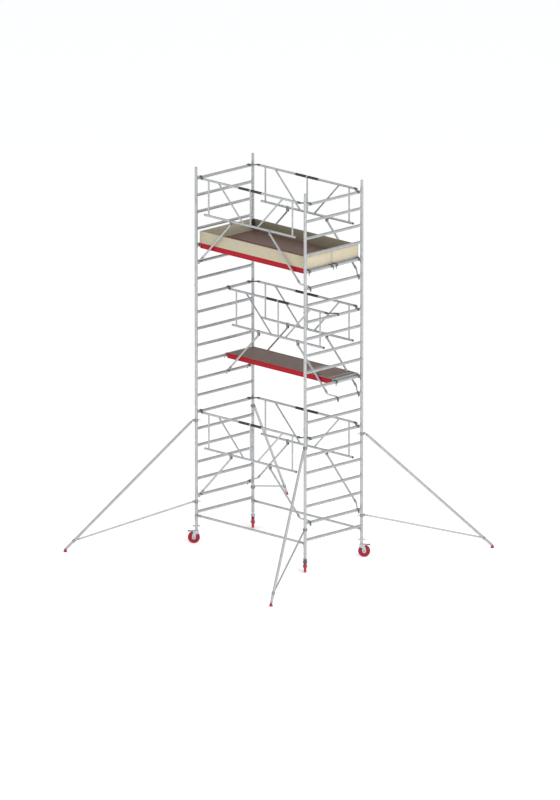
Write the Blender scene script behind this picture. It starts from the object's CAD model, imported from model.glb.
import math

import bpy
from mathutils import Matrix, Vector


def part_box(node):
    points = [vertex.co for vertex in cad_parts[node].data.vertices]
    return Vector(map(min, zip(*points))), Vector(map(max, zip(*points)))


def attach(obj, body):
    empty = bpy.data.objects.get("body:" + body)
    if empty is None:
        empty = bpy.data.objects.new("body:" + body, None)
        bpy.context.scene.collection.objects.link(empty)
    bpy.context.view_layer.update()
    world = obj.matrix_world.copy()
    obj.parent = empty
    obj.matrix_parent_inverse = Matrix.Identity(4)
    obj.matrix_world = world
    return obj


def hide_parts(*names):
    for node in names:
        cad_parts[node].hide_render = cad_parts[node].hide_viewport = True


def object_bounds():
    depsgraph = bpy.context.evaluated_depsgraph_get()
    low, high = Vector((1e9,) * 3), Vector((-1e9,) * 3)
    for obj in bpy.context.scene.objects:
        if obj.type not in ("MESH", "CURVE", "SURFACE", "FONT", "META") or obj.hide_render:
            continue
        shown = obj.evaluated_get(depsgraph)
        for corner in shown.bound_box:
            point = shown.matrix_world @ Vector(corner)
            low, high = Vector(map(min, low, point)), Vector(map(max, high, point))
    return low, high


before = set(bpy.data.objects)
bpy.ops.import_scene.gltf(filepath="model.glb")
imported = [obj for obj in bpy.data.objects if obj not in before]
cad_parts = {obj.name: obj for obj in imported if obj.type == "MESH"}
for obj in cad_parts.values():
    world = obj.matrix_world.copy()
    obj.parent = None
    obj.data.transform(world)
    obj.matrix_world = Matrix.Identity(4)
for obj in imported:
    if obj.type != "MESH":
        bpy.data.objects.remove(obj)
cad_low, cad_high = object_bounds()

# ---- Studio ----
# The tower stands on a plain pale floor under an even white sky. One broad light hangs high on
# the right and a weaker one on the left, and a very long lens keeps the uprights parallel.
tower_h = cad_high.z
scene = bpy.context.scene
scene.view_settings.view_transform = "Standard"

sky = bpy.data.worlds.new("studio_sky")
sky.use_nodes = True
sky_light = sky.node_tree.nodes["Background"]
sky_light.inputs["Color"].default_value = (0.97, 0.985, 1.0, 1.0)
sky_light.inputs["Strength"].default_value = 0.72
backdrop = sky.node_tree.nodes.new("ShaderNodeBackground")
backdrop.inputs["Color"].default_value = (1.0, 1.0, 1.0, 1.0)
seen = sky.node_tree.nodes.new("ShaderNodeLightPath")
either = sky.node_tree.nodes.new("ShaderNodeMixShader")
sky.node_tree.links.new(seen.outputs["Is Camera Ray"], either.inputs["Fac"])
sky.node_tree.links.new(sky_light.outputs["Background"], either.inputs[1])
sky.node_tree.links.new(backdrop.outputs["Background"], either.inputs[2])
sky.node_tree.links.new(either.outputs["Shader"], sky.node_tree.nodes["World Output"].inputs["Surface"])
scene.world = sky


def broad_light(name, place, size, power):
    lamp = bpy.data.lights.new(name, "AREA")
    lamp.size = size
    lamp.energy = power
    holder = bpy.data.objects.new(name, lamp)
    holder.location = place
    holder.rotation_euler = (-Vector(place) + Vector((0, 0, tower_h / 2))).to_track_quat("-Z", "Y").to_euler()
    scene.collection.objects.link(holder)


broad_light("key_light", (2.6 * tower_h, -0.6 * tower_h, 2.2 * tower_h), 1.2 * tower_h, 1700)
broad_light("fill_light", (-2.0 * tower_h, -2.2 * tower_h, 1.6 * tower_h), 1.6 * tower_h, 250)

camera_azimuth = math.radians(45)
camera_elevation = math.radians(14.8)
lens_mm = 1000
sensor_mm = 36
view_height = 2.0575 * tower_h
aim = Vector((0.002 * tower_h, 0.002 * tower_h, 0.3992 * tower_h))
camera_data = bpy.data.cameras.new("camera")
camera_data.lens = lens_mm
camera_data.sensor_width = sensor_mm
camera_data.clip_end = 3000
camera = bpy.data.objects.new("camera", camera_data)
camera_back = Vector((
    math.sin(camera_azimuth) * math.cos(camera_elevation),
    -math.cos(camera_azimuth) * math.cos(camera_elevation),
    math.sin(camera_elevation),
))
camera.location = aim + camera_back * (view_height * lens_mm / sensor_mm)
camera.rotation_euler = (-camera_back).to_track_quat("-Z", "Y").to_euler()
scene.collection.objects.link(camera)
scene.camera = camera


def deselect():
    if bpy.context.object and bpy.context.object.mode != "OBJECT":
        bpy.ops.object.mode_set(mode="OBJECT")
    bpy.ops.object.select_all(action="DESELECT")


deselect()
bpy.ops.mesh.primitive_plane_add(size=60 * tower_h)
floor = bpy.context.object
floor.name = "floor"
floor_finish = bpy.data.materials.new("pale_floor")
floor_finish.use_nodes = True
floor_shader = floor_finish.node_tree.nodes["Principled BSDF"]
floor_shader.inputs["Base Color"].default_value = (0.9, 0.9, 0.9, 1)
floor_shader.inputs["Roughness"].default_value = 0.9
floor_shader.inputs["Emission Color"].default_value = (1, 1, 1, 1)
floor_shader.inputs["Emission Strength"].default_value = 0.34
floor.data.materials.append(floor_finish)


# ---- End frames ----
# Six ladder frames of drawn aluminium tube: two plain uprights and seven fluted rungs, each rung
# notched against the uprights and welded all round. The frames stack three high on each side.
def new_finish(name, colour, metallic, roughness):
    mat = bpy.data.materials.new(name)
    mat.use_nodes = True
    shader = mat.node_tree.nodes["Principled BSDF"]
    shader.inputs["Base Color"].default_value = (*colour, 1)
    shader.inputs["Metallic"].default_value = metallic
    shader.inputs["Roughness"].default_value = roughness
    return mat


def pattern(mat, kind, stretch, along="Object", **settings):
    """A texture read on the piece's own coordinates, or on its UV map, stretched by three factors."""
    tree = mat.node_tree
    coords = tree.nodes.new("ShaderNodeTexCoord")
    mapping = tree.nodes.new("ShaderNodeMapping")
    mapping.inputs["Scale"].default_value = stretch
    texture = tree.nodes.new(kind)
    for key, value in settings.items():
        if key in texture.inputs:
            texture.inputs[key].default_value = value
        else:
            setattr(texture, key, value)
    tree.links.new(coords.outputs[along], mapping.inputs["Vector"])
    tree.links.new(mapping.outputs["Vector"], texture.inputs["Vector"])
    return texture.outputs.get("Fac") or texture.outputs["Distance"]


def ramp(mat, value, low, high, dark, light):
    """Turns a pattern into a blend between two colours."""
    blend = mat.node_tree.nodes.new("ShaderNodeValToRGB")
    blend.color_ramp.elements[0].position = low
    blend.color_ramp.elements[1].position = high
    blend.color_ramp.elements[0].color = (*dark, 1)
    blend.color_ramp.elements[1].color = (*light, 1)
    mat.node_tree.links.new(value, blend.inputs["Fac"])
    return blend.outputs["Color"]


def tint(mat, under, over, factor):
    """Lays one colour over another by a factor that is a pattern."""
    mix = mat.node_tree.nodes.new("ShaderNodeMix")
    mix.data_type = "RGBA"
    mix.blend_type = "MULTIPLY"
    for socket, value in zip((mix.inputs[0], mix.inputs[6], mix.inputs[7]), (factor, under, over)):
        if isinstance(value, bpy.types.NodeSocket):
            mat.node_tree.links.new(value, socket)
        else:
            socket.default_value = value
    return mix.outputs[2]


def colour_by(mat, colour):
    shader = mat.node_tree.nodes["Principled BSDF"]
    mat.node_tree.links.new(colour, shader.inputs["Base Color"])


def roughness_by(mat, value, smooth, rough):
    spread = mat.node_tree.nodes.new("ShaderNodeMapRange")
    spread.inputs["To Min"].default_value = smooth
    spread.inputs["To Max"].default_value = rough
    shader = mat.node_tree.nodes["Principled BSDF"]
    mat.node_tree.links.new(value, spread.inputs["Value"])
    mat.node_tree.links.new(spread.outputs["Result"], shader.inputs["Roughness"])


def bump_by(mat, value, height, strength=0.6):
    """Raises the surface by a pattern, on top of any bump that is there already."""
    tree = mat.node_tree
    shader = tree.nodes["Principled BSDF"]
    bump = tree.nodes.new("ShaderNodeBump")
    bump.inputs["Distance"].default_value = height
    bump.inputs["Strength"].default_value = strength
    if shader.inputs["Normal"].links:
        tree.links.new(shader.inputs["Normal"].links[0].from_socket, bump.inputs["Normal"])
    tree.links.new(value, bump.inputs["Height"])
    tree.links.new(bump.outputs["Normal"], shader.inputs["Normal"])


def drawn_aluminium():
    mat = new_finish("drawn_aluminium", (0.62, 0.63, 0.64), 0.85, 0.4)
    die_lines = pattern(mat, "ShaderNodeTexNoise", (900, 2.5, 1), along="UV", Detail=3)
    patches = pattern(mat, "ShaderNodeTexNoise", (3.1, 3.1, 3.1), Detail=5, Roughness=0.6)
    specks = pattern(mat, "ShaderNodeTexNoise", (160, 160, 160), Detail=2)
    metal = ramp(mat, patches, 0.3, 0.72, (0.43, 0.437, 0.445), (0.56, 0.565, 0.57))
    colour_by(mat, tint(mat, metal, ramp(mat, specks, 0.28, 0.36, (0.55, 0.55, 0.56), (1, 1, 1)), 0.6))
    roughness_by(mat, die_lines, 0.3, 0.52)
    bump_by(mat, die_lines, 0.00006)
    return mat


def weld_metal():
    mat = new_finish("weld_aluminium", (0.55, 0.56, 0.58), 0.8, 0.5)
    ripple = pattern(mat, "ShaderNodeTexNoise", (260, 260, 260), Detail=3)
    colour_by(mat, ramp(mat, ripple, 0.3, 0.7, (0.38, 0.385, 0.40), (0.62, 0.63, 0.64)))
    roughness_by(mat, ripple, 0.35, 0.6)
    bump_by(mat, ripple, 0.0004)
    return mat


aluminium = drawn_aluminium()
weld = weld_metal()


def settle(piece):
    """Puts the piece's place, turn and scale into its mesh."""
    deselect()
    piece.select_set(True)
    bpy.context.view_layer.objects.active = piece
    bpy.ops.object.transform_apply(location=True, rotation=True, scale=True)
    return piece


def apply_modifier(piece, kind, **settings):
    modifier = piece.modifiers.new("shape", kind)
    for key, value in settings.items():
        setattr(modifier, key, value)
    deselect()
    piece.select_set(True)
    bpy.context.view_layer.objects.active = piece
    bpy.ops.object.modifier_apply(modifier="shape")


def painted(piece, mat):
    piece.data.materials.clear()
    piece.data.materials.append(mat)
    return piece


def tube(p, q, diameter, wall, sides=40, mat=aluminium, flutes=0):
    """An open tube with its inner wall. Its UV map is in metres: round the tube, then along it."""
    p, q = Vector(p), Vector(q)
    turn = (q - p).to_track_quat("Z", "Y")
    deselect()
    bpy.ops.mesh.primitive_cylinder_add(
        vertices=sides, radius=diameter / 2, depth=(q - p).length, end_fill_type="NOTHING",
        location=(p + q) / 2, rotation=turn.to_euler(), calc_uvs=True,
    )
    piece = bpy.context.object
    for corner in piece.data.uv_layers[0].data:
        corner.uv = (corner.uv[0] * math.pi * diameter, (corner.uv[1] - 0.5) * 2 * (q - p).length)
    if flutes:
        for i, v in enumerate(piece.data.vertices):
            if (i // 4) % 2:
                v.co.x *= 1 - flutes * 2 / diameter
                v.co.y *= 1 - flutes * 2 / diameter
    apply_modifier(piece, "SOLIDIFY", thickness=wall, offset=-1)
    return painted(settle(piece), mat)


def joined(parts, name):
    deselect()
    for part in parts:
        part.select_set(True)
    bpy.context.view_layer.objects.active = parts[0]
    if len(parts) > 1:
        bpy.ops.object.join()
    bpy.ops.object.shade_smooth_by_angle(angle=math.radians(32))
    piece = bpy.context.object
    piece.name = name
    return piece


def copy_to(master, name, matrix):
    piece = master.copy()
    piece.data = master.data.copy()
    piece.name = name
    piece.data.transform(matrix)
    if matrix.determinant() < 0:
        piece.data.flip_normals()
    scene.collection.objects.link(piece)
    return piece


def discard(piece):
    mesh = piece.data
    bpy.data.objects.remove(piece)
    bpy.data.meshes.remove(mesh)


def fitted(piece, body, slot, *nodes):
    """Rides a finished piece on its body and says which CAD nodes it stands for."""
    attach(piece, body)
    if nodes:
        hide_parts(*nodes)


def weld_bead(centre, direction, radius, rail_axis, rail_radius, size=0.0035):
    """The bead where a tube meets the side of another: it follows the true curve of the joint."""
    direction, rail_axis, centre = Vector(direction).normalized(), Vector(rail_axis), Vector(centre)
    side = direction.orthogonal().normalized()
    up = direction.cross(side)
    path = bpy.data.curves.new("bead", "CURVE")
    path.dimensions = "3D"
    path.bevel_depth = size
    path.bevel_resolution = 1
    steps = 28
    spline = path.splines.new("POLY")
    spline.points.add(steps - 1)
    spline.use_cyclic_u = True
    across = direction - rail_axis * direction.dot(rail_axis)
    for i in range(steps):
        angle = math.tau * i / steps
        offset = (radius + 0.0004) * (math.cos(angle) * side + math.sin(angle) * up)
        flat = offset - rail_axis * offset.dot(rail_axis)
        a, b, c = across.dot(across), 2 * across.dot(flat), flat.dot(flat) - rail_radius ** 2
        reach = (-b - math.sqrt(max(b * b - 4 * a * c, 0))) / (2 * a)
        spline.points[i].co = (*(centre + offset + reach * direction), 1)
        spline.points[i].radius = 1 + 0.18 * math.sin(7 * angle)
    bead = bpy.data.objects.new("bead", path)
    scene.collection.objects.link(bead)
    deselect()
    bead.select_set(True)
    bpy.context.view_layer.objects.active = bead
    bpy.ops.object.convert(target="MESH")
    return painted(settle(bpy.context.object), weld)


frame_low, frame_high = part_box("left_frame_lower")
upright_r = (frame_high.x - frame_low.x) / 2
half_l = -(frame_low.x + frame_high.x) / 2
half_w = frame_high.y - upright_r
frame_h = frame_high.z - frame_low.z
rungs_per_frame = 7
rung_pitch = frame_h / rungs_per_frame
first_rung_rise = 0.215
rung_d = 0.048
tube_wall = 0.002


def rung_height(n):
    return frame_low.z + first_rung_rise + (n - 1) * rung_pitch


def end_frame_parts():
    end = half_w - 0.006
    rung = tube((0, -end, first_rung_rise), (0, end, first_rung_rise), rung_d, tube_wall, 96, flutes=0.0006)
    beads = [
        weld_bead((0, side * half_w, first_rung_rise), (0, side, 0), rung_d / 2, (0, 0, 1), upright_r)
        for side in (-1, 1)
    ]
    parts = [rung, *beads]
    for n in range(1, rungs_per_frame):
        lift = Matrix.Translation((0, 0, n * rung_pitch))
        parts += [copy_to(part, "rung", lift) for part in (rung, *beads)]
    for side in (-1, 1):
        parts.append(tube((0, side * half_w, 0), (0, side * half_w, frame_h), 2 * upright_r, tube_wall, 48))
    return parts


end_frame = joined(end_frame_parts(), "end_frame")
for side_name, side in (("left", -1), ("right", 1)):
    for level, level_name in enumerate(("lower", "middle", "upper")):
        node = side_name + "_frame_" + level_name
        foot = Matrix.Translation((side * half_l, 0, frame_low.z + level * frame_h))
        fitted(copy_to(end_frame, node + "_tubes", foot), "tower", "tower_aluminium", node)
discard(end_frame)


def finish_slots(mat, *nodes):
    """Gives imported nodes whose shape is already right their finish."""
    for node in nodes:
        painted(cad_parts[node], mat)


# ---- Spigots and lock clips ----
# A spigot of thick aluminium tube is pressed into the top of each upright and takes the next
# frame. A spring steel clip with a round button snaps into the joint and keeps it from lifting.
def sketch(points, closed=True):
    """Draws a line or an outline, each point extruded from the one before."""
    deselect()
    bpy.ops.mesh.primitive_plane_add(size=0.01)
    bpy.ops.object.mode_set(mode="EDIT")
    bpy.ops.mesh.select_all(action="SELECT")
    bpy.ops.mesh.merge(type="CENTER")
    bpy.ops.transform.translate(value=Vector(points[0]))
    stops = [Vector(p) for p in points] + ([Vector(points[0])] if closed else [])
    for a, b in zip(stops, stops[1:]):
        bpy.ops.mesh.extrude_vertices_move(TRANSFORM_OT_translate={"value": b - a})
    bpy.ops.mesh.select_all(action="SELECT")
    bpy.ops.mesh.remove_doubles(threshold=0.000005)
    return bpy.context.object


def rounded(piece, width, segments=2, angle=30):
    apply_modifier(
        piece, "BEVEL", width=width, segments=segments,
        limit_method="ANGLE", angle_limit=math.radians(angle),
    )
    return piece


def turned(profile, mat, sides=48, closed=False):
    """A round part spun about Z from its profile of (radius, height) points."""
    piece = sketch([(r, 0, z) for r, z in profile], closed)
    bpy.ops.mesh.select_all(action="SELECT")
    bpy.ops.mesh.spin(steps=sides, angle=math.tau, center=(0, 0, 0), axis=(0, 0, 1))
    bpy.ops.mesh.select_all(action="SELECT")
    bpy.ops.mesh.remove_doubles(threshold=0.000005)
    bpy.ops.mesh.normals_make_consistent(inside=False)
    bpy.ops.object.mode_set(mode="OBJECT")
    return painted(piece, mat)


def plate(outline, thickness, mat, edge=0.001, segments=2):
    """A plate cut to an outline in X and Z and centred on Y, with its edges eased."""
    piece = sketch([(x, -thickness / 2, z) for x, z in outline])
    bpy.ops.mesh.edge_face_add()
    bpy.ops.mesh.extrude_region_move(TRANSFORM_OT_translate={"value": (0, thickness, 0)})
    bpy.ops.mesh.select_all(action="SELECT")
    bpy.ops.mesh.normals_make_consistent(inside=False)
    bpy.ops.object.mode_set(mode="OBJECT")
    if edge:
        rounded(piece, edge, segments)
    return painted(piece, mat)


def arc(x, z, radius, start, end, steps=8):
    return [
        (
            x + radius * math.cos(math.radians(start + (end - start) * i / steps)),
            z + radius * math.sin(math.radians(start + (end - start) * i / steps)),
        )
        for i in range(steps + 1)
    ]


def block(low, high, mat, edge=0.001, segments=2):
    """A rectangular bar between two corners with its edges eased."""
    deselect()
    bpy.ops.mesh.primitive_cube_add(size=1, location=(Vector(low) + Vector(high)) / 2)
    piece = bpy.context.object
    piece.scale = Vector(high) - Vector(low)
    settle(piece)
    rounded(piece, edge, segments)
    return painted(piece, mat)


def moved(piece, matrix):
    piece.data.transform(matrix)
    if matrix.determinant() < 0:
        piece.data.flip_normals()
    return piece


def at(x, y, z, turn=0, axis="Z"):
    return Matrix.Translation((x, y, z)) @ Matrix.Rotation(math.radians(turn), 4, axis)


def swept(points, diameters, mat, order=3, sides=4):
    """A bent bar along a smooth line, with its own thickness at each control point."""
    path = bpy.data.curves.new("path", "CURVE")
    path.dimensions = "3D"
    path.bevel_depth = 0.5
    path.bevel_resolution = sides
    path.use_fill_caps = True
    spline = path.splines.new("NURBS")
    spline.points.add(len(points) - 1)
    spline.order_u = order
    spline.use_endpoint_u = True
    spline.resolution_u = 8
    for control, point, diameter in zip(spline.points, points, diameters):
        control.co = (*point, 1)
        control.radius = diameter
    bar = bpy.data.objects.new("bar", path)
    scene.collection.objects.link(bar)
    deselect()
    bar.select_set(True)
    bpy.context.view_layer.objects.active = bar
    bpy.ops.object.convert(target="MESH")
    piece = bpy.context.object
    bpy.ops.object.mode_set(mode="EDIT")
    bpy.ops.mesh.select_all(action="SELECT")
    bpy.ops.mesh.remove_doubles(threshold=0.000005)
    bpy.ops.mesh.normals_make_consistent(inside=False)
    bpy.ops.object.mode_set(mode="OBJECT")
    return painted(piece, mat)


def sand_casting(name, low, high, metallic):
    """A slightly grainy cast surface, rubbed paler where it wears."""
    mat = new_finish(name, high, metallic, 0.5)
    grain = pattern(mat, "ShaderNodeTexNoise", (420, 420, 420), Detail=3)
    wear = pattern(mat, "ShaderNodeTexNoise", (34, 34, 34), Detail=6, Roughness=0.7)
    base = ramp(mat, wear, 0.45, 0.75, low, high)
    colour_by(mat, tint(mat, base, ramp(mat, grain, 0.3, 0.6, (0.8, 0.8, 0.8), (1, 1, 1)), 1.0))
    roughness_by(mat, grain, 0.38, 0.62)
    bump_by(mat, grain, 0.00015)
    return mat


def zinc_plate(name="zinc_plate", low=(0.47, 0.48, 0.5), high=(0.6, 0.61, 0.63)):
    mat = new_finish(name, high, 0.9, 0.3)
    spangle = pattern(mat, "ShaderNodeTexVoronoi", (150, 150, 150))
    smear = pattern(mat, "ShaderNodeTexNoise", (16, 16, 40), Detail=5)
    colour_by(mat, tint(mat, ramp(mat, smear, 0.3, 0.7, low, high),
                        ramp(mat, spangle, 0.1, 0.7, (0.82, 0.83, 0.85), (1, 1, 1)), 0.7))
    roughness_by(mat, smear, 0.2, 0.42)
    bump_by(mat, spangle, 0.00004)
    return mat


casting = sand_casting("dark_casting", (0.115, 0.118, 0.125), (0.19, 0.193, 0.2), 0.35)
pale_casting = sand_casting("pale_casting", (0.33, 0.335, 0.345), (0.46, 0.465, 0.47), 0.6)
zinc = zinc_plate()
spring_steel = zinc_plate("spring_steel", (0.17, 0.175, 0.185), (0.25, 0.26, 0.27))

finish_slots(aluminium, "frame_spigots")


def lock_clip():
    grip = 118
    band = plate(
        arc(0, 0, upright_r + 0.0025, 90 - grip, 90 + grip, 24)
        + arc(0, 0, upright_r + 0.0004, 90 + grip, 90 - grip, 24),
        0.026, zinc, edge=0.0005, segments=1,
    )
    moved(band, Matrix.Rotation(math.radians(90), 4, "X"))
    button = turned(
        [(0, 0.0095), (0.0035, 0.0093), (0.0058, 0.0075), (0.0065, 0.005), (0.0065, 0.0)],
        spring_steel, sides=24,
    )
    moved(button, Matrix.Rotation(math.radians(90), 4, "X") @ Matrix.Translation((0, 0, upright_r)))
    rim = turned([(0.0065, 0.0), (0.0105, 0.0), (0.0105, 0.0033), (0.0065, 0.0045)], spring_steel, 24)
    moved(rim, Matrix.Rotation(math.radians(90), 4, "X") @ Matrix.Translation((0, 0, upright_r)))
    return joined([band, button, rim], "lock_clip")


clip_rise = 0.11
clip = lock_clip()
clips = [
    copy_to(clip, "clip",
            at(x * half_l, y * half_w, frame_low.z + level * frame_h + clip_rise, 0 if y < 0 else 180))
    for x in (-1, 1) for y in (-1, 1) for level in range(3)
]
discard(clip)
fitted(joined(clips, "lock_clips"), "tower", "clip_steel", "frame_lock_clips")


# ---- Lower braces ----
# Two long aluminium tubes tie the frames together under the lowest rungs. Each end carries a
# cast claw, held by a rivet, whose half ring clips round the upright.
def riveted(x, y, z, radius, mat, axis="Y"):
    """A domed rivet head, seen on both sides of a part."""
    head = [(0, 0.003), (radius * 0.5, 0.0026), (radius * 0.85, 0.0013), (radius, 0)]
    return moved(turned(head, mat, sides=16),
                 at(x, y, z, -90 if axis == "Y" else 90, "X" if axis == "Y" else "Y"))


rail_d = 0.038
brace_low, brace_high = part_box("lower_braces")
brace_z = (brace_low.z + brace_high.z) / 2
brace_half = brace_high.x
claw_low, claw_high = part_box("brace_claws")

braces = [tube((-brace_half, y * half_w, brace_z), (brace_half, y * half_w, brace_z), rail_d, tube_wall)
          for y in (-1, 1)]
fitted(joined(braces, "lower_brace_tubes"), "tower", "tower_aluminium", "lower_braces")


def brace_claw():
    """The claw for the right-hand end, drawn round the axis of the upright."""
    reach = claw_high.x - half_l - 0.0005
    wall = upright_r + 0.009
    mouth = math.degrees(math.acos(reach / wall))
    ring = plate(
        arc(0, 0, wall, mouth, 360 - mouth, 32) + arc(0, 0, upright_r + 0.0003, 360 - mouth, mouth, 32),
        claw_high.z - claw_low.z, pale_casting, edge=0.003, segments=3,
    )
    moved(ring, Matrix.Rotation(math.radians(90), 4, "X"))
    stem = moved(turned([
        (0.0, -0.03), (0.016, -0.03), (0.0165, -0.06), (0.0185, -0.094), (0.0207, -0.099), (0.0207, -0.1185),
        (0.0195, -0.1198), (0.0, -0.1198),
    ], pale_casting, 40), Matrix.Rotation(math.radians(90), 4, "Y"))
    rib = block((-0.094, -0.004, -0.0195), (-0.03, 0.004, 0.0195), pale_casting, 0.002)
    rivet = riveted(-0.109, -0.0205, 0, 0.0055, zinc)
    back_rivet = moved(riveted(0.109, -0.0205, 0, 0.0055, zinc), Matrix.Rotation(math.pi, 4, "Z"))
    return joined([ring, stem, rib, rivet, back_rivet], "brace_claw")


claw = brace_claw()
claws = [copy_to(claw, "claw", at(x * half_l, y * half_w, brace_z, 0 if x > 0 else 180))
         for x in (-1, 1) for y in (-1, 1)]
discard(claw)
fitted(joined(claws, "brace_end_claws"), "tower", "claw_casting", "brace_claws")


# ---- Guardrails ----
# A truss of aluminium tube: two long rails, three posts and two diagonals welded between them,
# and two legs that fold on riveted brackets. Cast claws at the rail ends and the feet of the
# legs hook over the rungs, and two ribbed rubber sleeves are the grips.
top_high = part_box("top_front_guardrail")[1]
sleeve_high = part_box("guardrail_sleeves")[1]
post_d = 0.028
leg_d = 0.033
rail_half = half_l - 0.14
rail_rise = top_high.z - rail_d / 2 - rung_height(21)
rail_drop = 0.573
lower_rail_half = rail_half - 0.065
post_x = 0.96
diagonal_top_x = 0.74
diagonal_foot_x = 0.155
leg_head = Vector((0.45, 0, -rail_drop - 0.06))
leg_foot = Vector((half_l - 0.13, 0, 0.084 - 5 * rung_pitch))
leg_line = (leg_foot - leg_head).normalized()


def truss():
    """The rails, posts, diagonals and legs, with Z from the rung that the claws sit on."""
    along = (1, 0, 0)
    parts = [tube((-half, 0, z), (half, 0, z), rail_d, tube_wall)
             for half, z in ((rail_half, rail_rise), (lower_rail_half, -rail_drop))]
    webs = [(x, x) for x in (-post_x, 0, post_x)]
    webs += [(s * diagonal_top_x, s * diagonal_foot_x) for s in (-1, 1)]
    for top_x, foot_x in webs:
        head, foot = Vector((top_x, 0, rail_rise)), Vector((foot_x, 0, -rail_drop))
        line = (head - foot).normalized()
        parts.append(tube(foot + 0.013 * line, head - 0.013 * line, post_d, tube_wall, 32))
        parts.append(weld_bead(head, line, post_d / 2, along, rail_d / 2, 0.003))
        parts.append(weld_bead(foot, -line, post_d / 2, along, rail_d / 2, 0.003))
    for s in (-1, 1):
        flip = Vector((s, 1, 1))
        parts.append(tube((leg_head - 0.018 * leg_line) * flip, (leg_foot + 0.002 * leg_line) * flip,
                          leg_d, tube_wall, 36))
    return joined(parts, "truss")


guardrails = [
    ("bottom_front", 7, -half_w), ("bottom_back", 7, half_w), ("middle_front", 14, None),
    ("middle_back", 14, half_w), ("top_front", 21, -half_w), ("top_back", 21, half_w),
]
rail_low, rail_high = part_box("middle_front_guardrail")
inner_y = (rail_low.y + rail_high.y) / 2


def on_rails(master, name):
    """Copies a part drawn for one guardrail to all six, turned round on the back ones."""
    copies = []
    for title, rung, y in guardrails:
        place = at(0, inner_y if y is None else y, rung_height(rung), 180 if y == half_w else 0)
        copies.append(copy_to(master, title + "_" + name, place))
    discard(master)
    return copies


for (title, rung, y), piece in zip(guardrails, on_rails(truss(), "guardrail_tubes")):
    fitted(piece, "tower", "tower_aluminium", title + "_guardrail")


def grip_rubber():
    mat = new_finish("grip_rubber", (0.02, 0.02, 0.021), 0.0, 0.6)
    grain = pattern(mat, "ShaderNodeTexNoise", (700, 700, 700), Detail=3)
    scuffs = pattern(mat, "ShaderNodeTexNoise", (20, 45, 45), Detail=6, Roughness=0.65)
    colour_by(mat, ramp(mat, scuffs, 0.35, 0.75, (0.026, 0.026, 0.027), (0.05, 0.05, 0.052)))
    roughness_by(mat, grain, 0.5, 0.75)
    bump_by(mat, grain, 0.0002)
    return mat


def moulded_plastic(name, low, high, rough=0.35):
    """Coloured plastic from a mould, with a fine skin and slightly uneven colour."""
    mat = new_finish(name, high, 0.0, rough)
    skin = pattern(mat, "ShaderNodeTexNoise", (520, 520, 520), Detail=2)
    cloud = pattern(mat, "ShaderNodeTexNoise", (11, 11, 11), Detail=5)
    dirt = pattern(mat, "ShaderNodeTexNoise", (62, 62, 62), Detail=6, Roughness=0.7)
    colour = tint(mat, ramp(mat, cloud, 0.3, 0.7, low, high),
                  ramp(mat, dirt, 0.26, 0.4, (0.6, 0.58, 0.56), (1, 1, 1)), 0.7)
    colour_by(mat, colour)
    roughness_by(mat, cloud, rough - 0.08, rough + 0.14)
    bump_by(mat, skin, 0.0001)
    return mat


rubber = grip_rubber()
crimson_plastic = moulded_plastic("crimson_plastic", (0.36, 0.008, 0.026), (0.45, 0.012, 0.034))
dark_crimson_plastic = moulded_plastic("dark_crimson_plastic", (0.16, 0.008, 0.016), (0.24, 0.012, 0.026))
black_plastic = moulded_plastic("black_plastic", (0.022, 0.022, 0.024), (0.04, 0.04, 0.042), 0.45)


def sleeves():
    """Two grips with rounded ends and ribs, either side of the middle post."""
    r, rib, pitch = rail_d / 2, 0.0012, 0.006
    middle, half = (sleeve_high.x + 0.018) / 2, (sleeve_high.x - 0.018) / 2
    outer = sleeve_high.z - rung_height(21) - rail_rise
    profile = [(r, -half), (outer - 0.001, -half), (outer, -half + 0.0015), (outer, -half + 0.012)]
    ribs = int((2 * half - 0.03) / pitch)
    start = -ribs * pitch / 2
    for i in range(ribs):
        z = start + i * pitch
        profile += [(outer - rib, z + 0.0008), (outer - rib, z + 0.0024), (outer, z + 0.0032),
                    (outer, z + 0.0052)]
    profile += [(outer, half - 0.012), (outer, half - 0.0015), (outer - 0.001, half), (r, half)]
    one = turned(profile, rubber, 28)
    lay = Matrix.Rotation(math.radians(90), 4, "Y")
    pair = [copy_to(one, "sleeve", Matrix.Translation((s * middle, 0, rail_rise)) @ lay) for s in (-1, 1)]
    discard(one)
    return joined(pair, "sleeves")


fitted(joined(on_rails(sleeves(), "sleeves"), "guardrail_grips"), "tower", "grip_rubber", "guardrail_sleeves")


def end_cap():
    r = rail_d / 2
    return moved(turned([
        (r - 0.0022, -0.012), (r - 0.0022, -0.0005), (r + 0.001, 0.0), (r + 0.001, 0.0055),
        (r - 0.001, 0.0078), (r - 0.006, 0.0088), (0, 0.009),
    ], dark_crimson_plastic, 36), Matrix.Rotation(math.radians(90), 4, "Y"))


cap = end_cap()
caps = [copy_to(cap, "cap", at(s * lower_rail_half, 0, -rail_drop, 0 if s > 0 else 180)) for s in (-1, 1)]
discard(cap)
fitted(joined(on_rails(joined(caps, "caps"), "caps"), "guardrail_rail_caps"), "tower", "end_cap_plastic",
       "guardrail_end_caps")


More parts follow.
